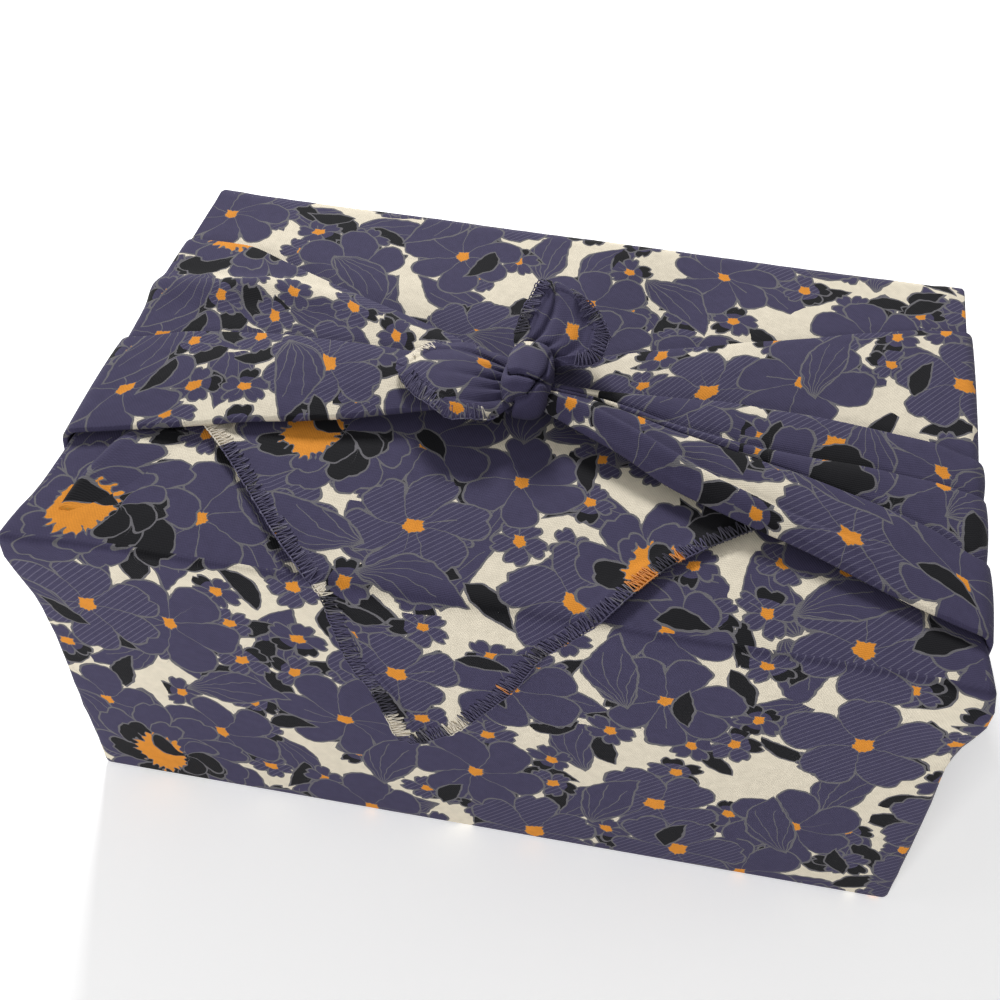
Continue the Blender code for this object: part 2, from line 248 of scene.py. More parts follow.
def leafGroup():
    # one pointed leaf along its own X, with veins that fan from its foot
    tree, give, take = newGroup("leafPrint", "Place:Vector Turn Length Width Veins Pen", "Body Line")
    feed, calc, times, _, _ = nodeHand(tree)
    spin = tree.nodes.new("ShaderNodeVectorRotate")
    spin.rotation_type = "Z_AXIS"
    feed(spin.inputs["Vector"], give["Place"])
    feed(spin.inputs["Angle"], give["Turn"])
    x, y, _ = splitUp(tree, spin.outputs[0])
    along = calc("DIVIDE", x, give["Length"])
    square = times(along, along)
    camber = calc("MULTIPLY_ADD", square, times(give["Width"], 0.5), y)
    half = times(calc("SUBTRACT", 1.0, square), give["Width"])
    half = times(half, calc("MULTIPLY_ADD", along, -0.25, 1.0))
    apart = calc("SUBTRACT", half, calc("ABSOLUTE", camber))
    body = calc("GREATER_THAN", apart, 0.0)
    rim = calc("LESS_THAN", calc("ABSOLUTE", apart), give["Pen"])
    foot = calc("ADD", x, give["Length"])
    fan = calc("ARCTAN2", camber, calc("MAXIMUM", foot, 0.01))
    row = calc("ABSOLUTE", calc("SUBTRACT", calc("FRACT", times(fan, 4.2)), 0.5))
    near = calc("LESS_THAN", times(row, times(foot, 0.24)), times(give["Pen"], 0.4))
    near = times(near, calc("LESS_THAN", along, 0.45))
    near = times(times(near, body), give["Veins"])
    feed(take["Body"], body)
    feed(take["Line"], calc("MAXIMUM", rim, near))
    return tree


# spacings and sizes of the printed motifs, millimetres on the flat cloth
printSet = dict(bigCell=49.0, bigJitter=0.6, bigRadius=23.0, bigMore=4.0, hatchedFrom=0.58,
                peonyCell=112.0, peonyJitter=0.55, peonyShare=0.42, moonReach=11.9, moonLine=12.6,
                blossomCell=21.0, blossomJitter=0.5, blossomRadius=8.8, blossomMore=1.6, blossomShare=0.78,
                leafCell=31.0, sprigCell=19.0, leafJitter=0.7, wobble=1.7, wobblePitch=15.0,
                tremble=0.42, tremblePitch=3.2, pen=0.37,
                hatchPitch=1.8, hatchWidth=0.17, hatchWay=(0.72, -0.69))


def printGroup():
    # the whole floral print from the cloth's flat coordinates in metres
    tree, give, take = newGroup("floralPrint", "Cloth:Vector", "Color:Color")
    feed, calc, times, ray, mix = nodeHand(tree)
    flat = ray("SCALE", give["Cloth"])
    flat.node.inputs["Scale"].default_value = 1000.0

    def noise(pitch, size):
        colour = softNoise(tree, flat, 1 / pitch)["Color"]
        moved = ray("SCALE", ray("SUBTRACT", colour, (0.5, 0.5, 0.5)))
        moved.node.inputs["Scale"].default_value = 2 * size
        return moved

    drawn = ray("ADD", flat, noise(printSet["wobblePitch"], printSet["wobble"]))
    drawn = ray("ADD", drawn, noise(printSet["tremblePitch"], printSet["tremble"]))
    drawn = ray("MULTIPLY", drawn, (1.0, 1.0, 0.0))

    def cells(size, jitter, shift, second=False):
        node = tree.nodes.new("ShaderNodeTexVoronoi")
        node.voronoi_dimensions = "2D"
        node.feature = "F2" if second else "F1"
        node.inputs["Scale"].default_value = 1 / size
        node.inputs["Randomness"].default_value = jitter
        moved = ray("ADD", drawn, shift)
        feed(node.inputs["Vector"], moved)
        away = ray("SUBTRACT", moved, node.outputs["Position"])
        split = tree.nodes.new("ShaderNodeSeparateColor")
        feed(split.inputs[0], node.outputs["Color"])
        return ray("MULTIPLY", away, (1.0, 1.0, 0.0)), split.outputs

    def layer(kind, **values):
        node = tree.nodes.new("ShaderNodeGroup")
        node.node_tree = kind
        for title, value in values.items():
            feed(node.inputs[title], value)
        return node.outputs

    slant = [part / printSet["hatchPitch"] for part in printSet["hatchWay"]]
    stripe = calc("LESS_THAN", calc("FRACT", ray("DOT_PRODUCT", flat, (*slant, 0.0))), printSet["hatchWidth"])
    flower, leaf = petalGroup(), leafGroup()
    pen, turnAll = printSet["pen"], 6.28

    def inked(out, fill):
        fill = mix(out["Line"], fill, ink["grey"])
        return mix(out["Heart"], fill, ink["orange"]), calc("MAXIMUM", out["Body"], out["Line"])

    def bigFlower(second):
        place, chance = cells(printSet["bigCell"], printSet["bigJitter"], (7.0, 11.0, 0.0), second)
        hatched = calc("GREATER_THAN", chance[0], printSet["hatchedFrom"])
        petals = calc("SUBTRACT", calc("FLOOR", calc("MULTIPLY_ADD", chance[1], 1.99, 6.0)), hatched)
        radius = calc("MULTIPLY_ADD", chance[2], printSet["bigMore"], printSet["bigRadius"])
        bend = calc("SUBTRACT", chance[1], 0.5)
        out = layer(flower, Place=place, Petals=petals, Radius=radius, Turn=times(chance[2], turnAll),
                    Valley=0.5, Full=2.6, Notch=times(hatched, 0.07), Bend=bend,
                    Heart=calc("MULTIPLY_ADD", hatched, 0.9, 2.5), Seed=times(chance[1], 37.0), Pen=pen)
        fill, shown = inked(out, mix(times(hatched, stripe), ink["indigo"], ink["hatch"]))
        return fill, shown, chance[1]

    def peony(under):
        # three rings of petals, some of them black, about a ragged orange half moon
        place, chance = cells(printSet["peonyCell"], printSet["peonyJitter"], (31.0, 12.0, 0.0))
        shown = calc("LESS_THAN", chance[0], printSet["peonyShare"])
        turn = times(chance[2], turnAll)

        def ring(under, shift, petals, radius, valley, dark):
            out = layer(flower, Place=ray("ADD", place, shift), Petals=petals, Radius=radius, Turn=turn,
                        Valley=valley, Full=2.6, Notch=0.05, Bend=0.5, Heart=0.0,
                        Seed=calc("ADD", chance[1], radius), Pen=pen)
            some = calc("GREATER_THAN", out["Pick"], dark)
            fill = mix(out["Line"], mix(some, ink["indigo"], ink["black"]), ink["grey"])
            return mix(times(calc("MAXIMUM", out["Body"], out["Line"]), shown), under, fill)

        colour = ring(under, (0.0, 0.0, 0.0), 9.0, 33.0, 0.62, 0.86)
        colour = ring(colour, (2.0, 1.0, 0.0), 7.0, 23.0, 0.5, 0.68)
        ragged = softNoise(tree, flat, 0.4)[0]
        moon = ray("MULTIPLY", ray("ADD", place, (5.5, 1.0, 0.0)), (1.0, 0.8, 0.0))
        x, y, _ = splitUp(tree, moon)
        teeth = times(calc("ABSOLUTE", calc("SINE", times(calc("ARCTAN2", y, x), 11.0))), 1.7)
        reach = calc("ADD", calc("MULTIPLY_ADD", ragged, 3.6, teeth), ray("LENGTH", moon))
        for most, paint in ((printSet["moonLine"], "grey"), (printSet["moonReach"], "orange")):
            colour = mix(times(calc("LESS_THAN", reach, most), shown), colour, ink[paint])
        out = layer(flower, Place=ray("ADD", place, (-4.5, -1.0, 0.0)), Petals=6.0, Radius=15.5, Turn=0.4,
                    Valley=0.3, Full=2.4, Notch=0.0, Bend=0.8, Heart=0.0, Seed=4.0, Pen=pen)
        dark = mix(calc("GREATER_THAN", out["Pick"], 0.62), ink["indigo"], ink["black"])
        dark = mix(out["Line"], dark, ink["grey"])
        inner = times(calc("MAXIMUM", out["Body"], out["Line"]), calc("GREATER_THAN", out["Pick"], 0.25))
        return mix(times(inner, shown), colour, dark)

    def blossom():
        place, chance = cells(printSet["blossomCell"], printSet["blossomJitter"], (3.0, 5.0, 0.0))
        radius = calc("MULTIPLY_ADD", chance[1], printSet["blossomMore"], printSet["blossomRadius"])
        out = layer(flower, Place=place, Petals=5.0, Radius=radius,
                    Turn=times(chance[2], turnAll), Valley=0.26, Full=3.0, Notch=0.14, Bend=0.15,
                    Heart=2.1, Seed=times(chance[2], 53.0), Pen=pen)
        fill = mix(times(stripe, calc("GREATER_THAN", chance[1], 0.5)), ink["indigo"], ink["hatch"])
        dark = times(calc("GREATER_THAN", out["Pick"], 0.75), calc("GREATER_THAN", out["Reach"], 0.55))
        fill, shown = inked(out, mix(dark, fill, ink["black"]))
        return fill, times(shown, calc("LESS_THAN", chance[0], printSet["blossomShare"]))

    def leaves(size, length, width, paint, share, shift, veins=0.0):
        place, chance = cells(size, printSet["leafJitter"], shift)
        out = layer(leaf, Place=place, Turn=times(chance[2], turnAll), Length=length,
                    Width=width, Veins=veins, Pen=pen)
        shown = times(calc("MAXIMUM", out["Body"], out["Line"]), calc("LESS_THAN", chance[0], share))
        return mix(out["Line"], ink[paint], ink["grey"]), shown

    # from the bottom up: leaves, sprigs, blossoms, big flowers, more leaves, peonies
    colour = ink["cream"]
    for fill, shown in (leaves(printSet["leafCell"], 18.0, 7.6, "indigo", 0.85, (13.0, 2.0, 0.0), 1.0),
                        leaves(printSet["sprigCell"], 10.5, 3.8, "black", 0.62, (1.0, 9.0, 0.0)), blossom()):
        colour = mix(shown, colour, fill)
    nearFill, nearShown, nearRank = bigFlower(False)
    farFill, farShown, farRank = bigFlower(True)
    colour = mix(farShown, colour, farFill)
    colour = mix(nearShown, colour, nearFill)
    farFirst = times(farShown, calc("GREATER_THAN", farRank, nearRank))
    colour = mix(farFirst, colour, farFill)
    for fill, shown in (leaves(58.0, 19.0, 8.2, "indigo", 0.8, (40.0, 23.0, 0.0), 1.0),
                        leaves(61.0, 9.5, 3.6, "black", 0.8, (20.0, 43.0, 0.0))):
        colour = mix(shown, colour, fill)
    feed(take["Color"], peony(colour))
    return tree


weaveSet = dict(pitch=0.00075, ways=((5.2, 3.4, 0.0), (-2.6, 6.3, 0.0)), looseScale=0.22, wander=2.4,
                patchy=0.20, shade=0.07, bump=0.35, bumpDepth=0.0002, roughness=0.88, shine=0.14,
                sheen=0.04, sheenRoughness=0.45)


def weaveGroup():
    # fine diagonal grain of the woven cotton: Height for bump and Shade for the colour
    tree, give, take = newGroup("cottonWeave", "Cloth:Vector Pitch", "Height Shade")
    feed, calc, times, ray, _ = nodeHand(tree)
    scaled = ray("SCALE", give["Cloth"])
    feed(scaled.node.inputs["Scale"], calc("DIVIDE", 1.0, give["Pitch"]))
    loose = softNoise(tree, scaled, weaveSet["looseScale"], 2.0)[0]
    wander = times(loose, weaveSet["wander"])
    waves = [calc("SINE", calc("ADD", ray("DOT_PRODUCT", scaled, way), wander)) for way in weaveSet["ways"]]
    height = calc("MULTIPLY_ADD", waves[0], 0.5, times(waves[1], 0.35))
    patchy = calc("MULTIPLY_ADD", loose, weaveSet["patchy"], 1.0 - weaveSet["patchy"] / 2)
    feed(take["Height"], height)
    feed(take["Shade"], calc("MULTIPLY_ADD", height, weaveSet["shade"], patchy))
    return tree


def printedCotton(name, motifGroup, grainGroup, thread=0.0):
    # the printed cloth; thread is how far its colour turns to a pale colour, a painted sheen highlight on the
    # overlock thread
    material = bpy.data.materials.new(name)
    material.use_nodes = True
    tree = material.node_tree
    feed, _, _, _, mix = nodeHand(tree)
    shader = tree.nodes["Principled BSDF"]
    for title, key in (("Roughness", "roughness"), ("Specular IOR Level", "shine"), ("Sheen Weight", "sheen"),
                       ("Sheen Roughness", "sheenRoughness")):
        shader.inputs[title].default_value = weaveSet[key]
    uv = tree.nodes.new("ShaderNodeUVMap")
    uv.uv_map = "cloth"
    motif = tree.nodes.new("ShaderNodeGroup")
    motif.node_tree = motifGroup
    feed(motif.inputs[0], uv.outputs[0])
    colour = motif.outputs["Color"]
    if thread:
        # the print mixed towards a pale colour: a painted sheen highlight on the thread
        feed(shader.inputs["Base Color"], mix(thread, colour, ink["thread"]))
        return material
    weave = tree.nodes.new("ShaderNodeGroup")
    weave.node_tree = grainGroup
    feed(weave.inputs["Cloth"], uv.outputs[0])
    weave.inputs["Pitch"].default_value = weaveSet["pitch"]
    feed(shader.inputs["Base Color"], mix(1.0, colour, weave.outputs["Shade"], "MULTIPLY"))
    bump = tree.nodes.new("ShaderNodeBump")
    bump.inputs["Strength"].default_value = weaveSet["bump"]
    bump.inputs["Distance"].default_value = weaveSet["bumpDepth"]
    feed(bump.inputs["Height"], weave.outputs["Height"])
    feed(shader.inputs["Normal"], bump.outputs[0])
    return material


floral, grain = printGroup(), weaveGroup()
cotton = printedCotton("printedCotton", floral, grain)
# the stitches' material: the print turned 13% towards a pale colour, a painted sheen highlight on the thread
overlock = printedCotton("overlockThreadPaintedSheen", floral, grain, thread=0.13)
print("print and weave made")


def table(columns, *rows):
    # named columns and plain rows, as one dictionary for each row
    return [dict(zip(columns.split(), row)) for row in rows]


def through(rows, key, at):
    # a smooth curve through one column of a table, by the rows' ways
    knots = np.array([row["way"] for row in rows], float)
    values = np.array([row[key] for row in rows], float)
    gaps = np.diff(knots)
    rates = np.diff(values) / gaps
    agree = rates[1:] * rates[:-1] > 0
    inner = np.where(agree, 2 * rates[1:] * rates[:-1] / (rates[1:] + rates[:-1] + 1e-12), 0)
    slopes = np.concatenate(([rates[0]], inner, [rates[-1]]))
    at = np.clip(at, knots[0], knots[-1])
    index = np.clip(np.searchsorted(knots, at) - 1, 0, len(gaps) - 1)
    t = (at - knots[index]) / gaps[index]
    h00, h10 = 2 * t**3 - 3 * t**2 + 1, t**3 - 2 * t**2 + t
    h01, h11 = -2 * t**3 + 3 * t**2, t**3 - t**2
    return (h00 * values[index] + h10 * gaps[index] * slopes[index]
            + h01 * values[index + 1] + h11 * gaps[index] * slopes[index + 1])


def ripple(x, y, pitch, seed):
    # a gentle uneven wave from -1 to 1
    total = 0
    chance = np.random.default_rng(seed)
    for _ in range(5):
        turn, phase, stretch = chance.uniform(0, 2 * math.pi, 2).tolist() + [chance.uniform(0.7, 1.6)]
        way = (x * math.cos(turn) + y * math.sin(turn)) * stretch
        total = total + np.sin(way * 2 * math.pi / pitch + phase)
    return total / 3.2


class sheetPile:
    # gathers grids of points and their flat coordinates into one mesh
    def __init__(self):
        self.points, self.faces, self.flats = [], [], []
        self.count = 0

    def add(self, points, flat, flip=False):
        points, flat = np.asarray(points, float), np.asarray(flat, float)
        rows, columns = points.shape[:2]
        self.points.append(points.reshape(-1, 3) * mm)
        base = self.count
        for i in range(rows - 1):
            for j in range(columns - 1):
                a = i * columns + j
                corners = [a, a + 1, a + columns + 1, a + columns]
                if flip:
                    corners.reverse()
                self.faces.append([base + c for c in corners])
                self.flats.extend(flat.reshape(-1, 2)[corners] * mm)
        self.count += rows * columns

    def mesh(self, name, merge=0.00002):
        mesh = bpy.data.meshes.new(name)
        mesh.from_pydata(np.concatenate(self.points).tolist(), [], self.faces)
        layer = mesh.uv_layers.new(name="cloth")
        layer.data.foreach_set("uv", np.asarray(self.flats, np.float32).ravel())
        shape = bmesh.new()
        shape.from_mesh(mesh)
        bmesh.ops.remove_doubles(shape, verts=shape.verts, dist=merge)
        shape.to_mesh(mesh)
        shape.free()
        mesh.shade_smooth()
        obj = bpy.data.objects.new(name, mesh)
        bpy.context.scene.collection.objects.link(obj)
        obj.data.materials.append(cotton)
        return obj


# soft bulges of the body: middle, reach and outward height
bulges = table("x y z reach height",
    (-150, -96, 126, 30, 5.2),
    (150, -96, 120, 24, 5.6),
    (150, -96, 88, 26, -1.0),
    (-60, -95, 60, 55, 1.0),
    (70, -95, 75, 60, 0.8),
    (20, 95, 70, 70, 1.2),
    (-150, 30, 70, 50, 0.5))


def swell(points):
    outward = points - np.array((0, 0, wrap["top"] / 2))
    outward[..., 2] *= 0.3
    outward /= np.linalg.norm(outward, axis=-1)[..., None]
    above = np.clip(points[..., 2] / 20, 0, 1)[..., None]
    moved = points.copy()
    for row in bulges:
        apart = np.linalg.norm(points - np.array((row["x"], row["y"], row["z"])), axis=-1) / row["reach"]
        moved += outward * (row["height"] * np.exp(-((1.6 * apart) ** 2)))[..., None] * above
    wave = ripple(points[..., 0] + points[..., 1], points[..., 2], 34, 3)[..., None] * 0.22
    fine = ripple(points[..., 0] - points[..., 1], points[..., 2], 9, 4)[..., None] * 0.16
    return moved + outward * (wave + fine) * above


def planRing(halfX, halfY, radius, spacing):
    # points spaced along a rounded rectangle, from the middle of the back, left side first
    corners = ((-1, 1, 90), (-1, -1, 180), (1, -1, 270), (1, 1, 0))
    ring = [np.array((0.0, halfY))]
    for sideX, sideY, start in corners:
        centre = np.array((sideX * (halfX - radius), sideY * (halfY - radius)))
        for degrees in np.linspace(0, 90, 6):
            turn = math.radians(start + degrees)
            ring.append(centre + radius * np.array((math.cos(turn), math.sin(turn))))
    ring.append(np.array((0.0, halfY)))
    spaced = [ring[0]]
    for here, after in zip(ring, ring[1:]):
        steps = max(1, int(np.linalg.norm(after - here) / spacing))
        for step in range(1, steps + 1):
            spaced.append(here + (after - here) * step / steps)
    return np.array(spaced)


def bodySheets(pile):
    # walls, then the base and the top as drawn-in rings
    halfX, halfY, top, edge = wrap["halfWidth"], wrap["halfDepth"], wrap["top"], wrap["edgeRound"]
    curve = [(edge * (1 - math.sin(t)), edge * (1 - math.cos(t))) for t in np.linspace(0, math.pi / 2, 6)]
    stations = curve + [(0.0, z) for z in np.linspace(edge, top - edge, 19)[1:-1]]
    stations += [(drawn, top - z) for drawn, z in reversed(curve)]
    rings = []
    wall = planRing(halfX, halfY, wrap["planRound"], 5.0)
    for drawn, z in stations:
        scale = np.array(((halfX - drawn) / halfX, (halfY - drawn) / halfY))
        ring = wall * scale
        rings.append(np.column_stack((ring, np.full(len(ring), z))))
    rings = np.array(rings)
    steps = np.linalg.norm(np.diff(wall, axis=0), axis=1)
    around = np.concatenate(([0], np.cumsum(steps)))
    middle = around[np.argmin(np.abs(wall[:, 0]) + (wall[:, 1] > 0) * 999)]
    climb = np.concatenate(([0], np.cumsum(np.linalg.norm(np.diff(np.array(stations), axis=0), axis=1))))
    flat = np.stack(np.meshgrid(around - middle, climb), axis=-1)
    walls = swell(rings)
    back = np.stack((rings[..., 0] + clothAt["flap"], clothAt["back"] - flat[..., 1]), axis=-1)
    onBack = wall[:, 1] > halfY - 0.001
    first, last = int(np.argmin(onBack)) - 1, len(wall) - int(np.argmin(onBack[::-1]))
    pile.add(walls[:, :first + 1], back[:, :first + 1])
    pile.add(walls[:, first:last + 1], flat[:, first:last + 1])
    pile.add(walls[:, last:], back[:, last:])
    for low in (True, False):
        start = rings[0] if low else rings[-1]
        if low:
            end = np.column_stack((wall * 0.02, np.zeros(len(wall))))
        else:
            end = np.column_stack((wall * (0.45, 0.16) + (0, 50), np.full(len(wall), top)))
        shares = np.linspace(0, 1, 9)[:, None, None]
        grid = start[None] * (1 - shares) + end[None] * shares
        x, y = grid[..., 0], grid[..., 1]
        rise = climb[-1] + y + halfY if not low else -(y + halfY)
        pile.add(swell(grid), np.stack((x, rise), axis=-1), flip=low)


# the back flap: each row's line (y, z) and the x of its two edges
flapRows = table("y z left right",
    (94.3, 108.0, -136, 136),
    (95.0, 118.0, -142, 142),
    (95.9, 127.0, -146, 146),
    (95.2, 132.0, -147, 147),
    (90.5, 134.0, -148, 148),
    (55.0, 134.0, -148, 148),
    (22.0, 134.0, -148, 148),
    (1.0, 134.0, -147, 147),
    (-20.0, 134.0, -126, 118),
    (-39.0, 134.0, -107, 95),
    (-52.0, 134.0, -94, 73),
    (-69.0, 134.0, -79, 53),
    (-83.0, 134.2, -67, 43),
    (-91.0, 134.4, -59, 38),
    (-95.6, 132.8, -54, 34),
    (-97.2, 128.0, -49.5, 29),
    (-97.8, 114.0, -47, 18),
    (-98.2, 100.0, -43, 11),
    (-98.6, 86.0, -36, 2),
    (-99.0, 72.0, -30.5, -9.5),
    (-99.0, 64.0, -28.8, -19.5),
    (-98.6, 60.0, -27.8, -24.4))


def measured(rows, keys):
    # adds each row's distance along the sheet as its way
    places = np.array([[row[key] for key in keys] for row in rows], float)
    ways = np.concatenate(([0], np.cumsum(np.linalg.norm(np.diff(places, axis=0), axis=1))))
    return [dict(row, way=float(way)) for row, way in zip(rows, ways)]


def hemShares(count, hemShare):
    # shares across a sheet, close together where each hem steps down
    inner = np.linspace(hemShare * 1.25, 1 - hemShare * 1.25, count)
    outer = np.array((0, 0.12, 0.5, 0.9, 1.0, 1.12)) * hemShare
    return np.concatenate((outer, inner, 1 - outer[::-1]))


def hemLift(apart):
    # the doubled cloth of a hem, from its distance to the edge
    return wrap["hemRise"] * np.clip((wrap["hem"] * 1.12 - apart) / (wrap["hem"] * 0.12), 0, 1)


def hemPath(points, flat, column, inner, raised=0.0):
    # stitch places along one edge of a grid: place, way in, outward face, flat coordinates
    edge, inside = points[:, column], points[:, inner]
    steps = np.concatenate(([0], np.cumsum(np.linalg.norm(np.diff(edge, axis=0), axis=1))))
    at = np.arange(stitchSet["pitch"] / 2, steps[-1], stitchSet["pitch"])

    def spread(values):
        return np.stack([np.interp(at, steps, values[:, k]) for k in range(values.shape[1])], axis=1)

    along = np.gradient(edge, axis=0)
    inward = inside - edge
    along /= np.linalg.norm(along, axis=1)[:, None] + 1e-9
    inward -= along * np.sum(inward * along, axis=1)[:, None]
    inward /= np.linalg.norm(inward, axis=1)[:, None] + 1e-9
    face = np.cross(inward, along)
    face *= np.sign(face @ np.array((0, -0.6, 0.8)))[:, None]
    return dict(place=spread(edge + face * raised), inward=spread(inward), face=spread(face),
                flat=spread(flat[:, column]))


stitchSet = dict(pitch=1.45, reach=5.2, thread=0.21, uneven=0.19, seed=5)
hemPaths = []


def flapSheet(pile):
    rows = measured(flapRows, ("y", "z"))
    ways = np.append(np.arange(0, rows[-1]["way"], 2.6), rows[-1]["way"])
    y, z = through(rows, "y", ways), through(rows, "z", ways)
    left, right = through(rows, "left", ways), through(rows, "right", ways)
    wide = right - left
    grid, flat = [], []
    for i, way in enumerate(ways):
        shares = hemShares(66, min(0.3, wrap["hem"] / wide[i]))
        x = left[i] + wide[i] * shares
        front = min(max((way - 235) / 20, 0), 1)
        over = min(max((way - 130) / 40, 0), 1)
        apart = np.minimum(shares, 1 - shares) * wide[i] * 0.8
        lift = ripple(x, way + 0 * x, 60, 8) * 0.22 + ripple(x, way + 0 * x, 17, 21) * 0.10
        curl = (0.7 + 0.5 * front) * np.exp(-apart / 7) * (1 + 0.6 * math.sin(way / 6.1))
        lift = lift + hemLift(apart) + over * curl
        grid.append(np.stack((x, y[i] - lift * front, z[i] + 0.2 + lift * (1 - front)), axis=-1))
        flat.append(np.stack((x + clothAt["flap"], -way - clothAt["flap"] + 0 * x), axis=-1))
    grid, flat = np.array(grid), np.array(flat)
    pile.add(grid, flat, flip=True)
    seen = slice(int(np.searchsorted(ways, 130)), None)
    hemPaths.append(hemPath(grid[seen], flat[seen], 0, 3))
    hemPaths.append(hemPath(grid[seen], flat[seen], -1, -4))


# The bands. way is the distance from the top edge of the side, down the wall below 0 and
# in over the top above 0. e and r columns are the y of the outer edges and of the folds
# between them, h columns their heights, c and hc a soft crest's y and its rise.
leftRows = table("way e0 r1 e2 c hc h0 h1 h2 drop",
    (-131, 88, 2, -88, 40, 0, -1.6, -1.0, -1.6, 0.1),
    (-118, 85, 2, -85, 39, 0, 0, 0.3, 0.2, 0.2),
    (-70, 73, 0, -74, 35, 0.1, 0, 0.5, 0.3, 0.4),
    (-20, 61, -4, -57, 30, 0.4, 0.1, 0.9, 0.6, 0.7),
    (0, 57, -4, -52, 28, 1.8, 0.2, 1.2, 0.9, 0.9),
    (22, 57.5, 2, -46, 30, 2.7, 0.5, 2.2, 1.3, 1.4),
    (41, 50, 5, -40.5, 33, 3.0, 1.0, 3.0, 1.8, 1.9),
    (60, 41.5, 6, -35, 31, 2.4, 1.7, 4.2, 2.4, 2.2),
    (78, 33.5, 5, -31.5, 26, 1.3, 2.6, 5.4, 3.2, 2.3),
    (97, 25, 4, -26.5, 18, 0.6, 3.8, 6.6, 4.3, 2.1),
    (115, 16, 1, -21, 11, 0.3, 5.2, 7.6, 5.4, 1.6),
    (131, 8, -3, -16, 4, 0, 6.2, 8.4, 6.2, 1.1),
    (144, 3, -5, -12, 0, 0, 6.8, 8.8, 6.8, 0.8))
rightRows = table("way e0 r1 r2 r3 e4 c hc h0 h1 h2 h3 h4 drop",
    (-131, 88, 22, -12, -46, -89, -66, 0, -1.6, -1, -1, -1, -1.6, 0.1),
    (-118, 86, 20, -13, -46, -88, -66, 0, 0, 0.3, 0.3, 0.3, 0.2, 0.2),
    (-70, 77, 10, -18, -48, -85, -66, 0, 0, 0.6, 0.6, 0.5, 0.3, 0.4),
    (-20, 68, 0, -21, -50, -80, -65, 0, 0.1, 1, 1, 0.9, 0.5, 0.7),
    (0, 65, -4, -21, -49, -77.5, -64, 0, 0.2, 1.3, 1.4, 1.4, 0.9, 0.9),
    (17, 62, 1, -18, -39.5, -72, -60, 0.2, 0.4, 1.8, 2.0, 2.0, 1.2, 1.2),
    (34, 57, 2.5, -17, -33, -65, -55, 1.0, 0.7, 2.4, 2.8, 2.8, 1.7, 1.5),
    (57, 48, 3.5, -17, -26.5, -55, -48, 2.3, 1.3, 3.4, 4.0, 4.2, 2.5, 1.8),
    (80, 39.5, 3, -16.5, -21.5, -47, -40, 3.3, 2.1, 4.7, 5.4, 5.6, 3.5, 1.9),
    (100, 31, 0, -14, -17.5, -39, -30.5, 3.3, 3.2, 6.2, 6.7, 6.9, 4.6, 1.8),
    (117, 23, -3, -10.5, -13, -29.5, -21.5, 2.2, 4.5, 7.6, 8.0, 8.1, 5.7, 1.6),
    (132, 15, -5, -8.5, -10, -22, -14.5, 1.4, 5.7, 8.8, 9.0, 9.0, 6.5, 1.2),
    (146, 7, -5.5, -7.5, -9, -15, -11, 0.6, 6.8, 9.4, 9.4, 9.4, 7.0, 0.8))


def bandPath(side, way):
    # the band's middle surface: place (x, z) and outward direction for each way
    edge = 4.0
    arc = edge * math.pi / 2
    out, level = wrap["bandOut"], wrap["bandLevel"]
    x, z, nx, nz = (np.zeros_like(way) for _ in range(4))
    down = way <= -arc / 2
    x[down], z[down] = out, level - edge + way[down] + arc / 2
    nx[down], nz[down] = 1, 0
    flatTop = way >= arc / 2
    x[flatTop], z[flatTop] = out - edge - (way[flatTop] - arc / 2), level
    nx[flatTop], nz[flatTop] = 0, 1
    turn = ~down & ~flatTop
    angle = (way[turn] + arc / 2) / edge
    x[turn], z[turn] = out - edge + edge * np.cos(angle), level - edge + edge * np.sin(angle)
    nx[turn], nz[turn] = np.cos(angle), np.sin(angle)
    return side * x, z, side * nx, nz


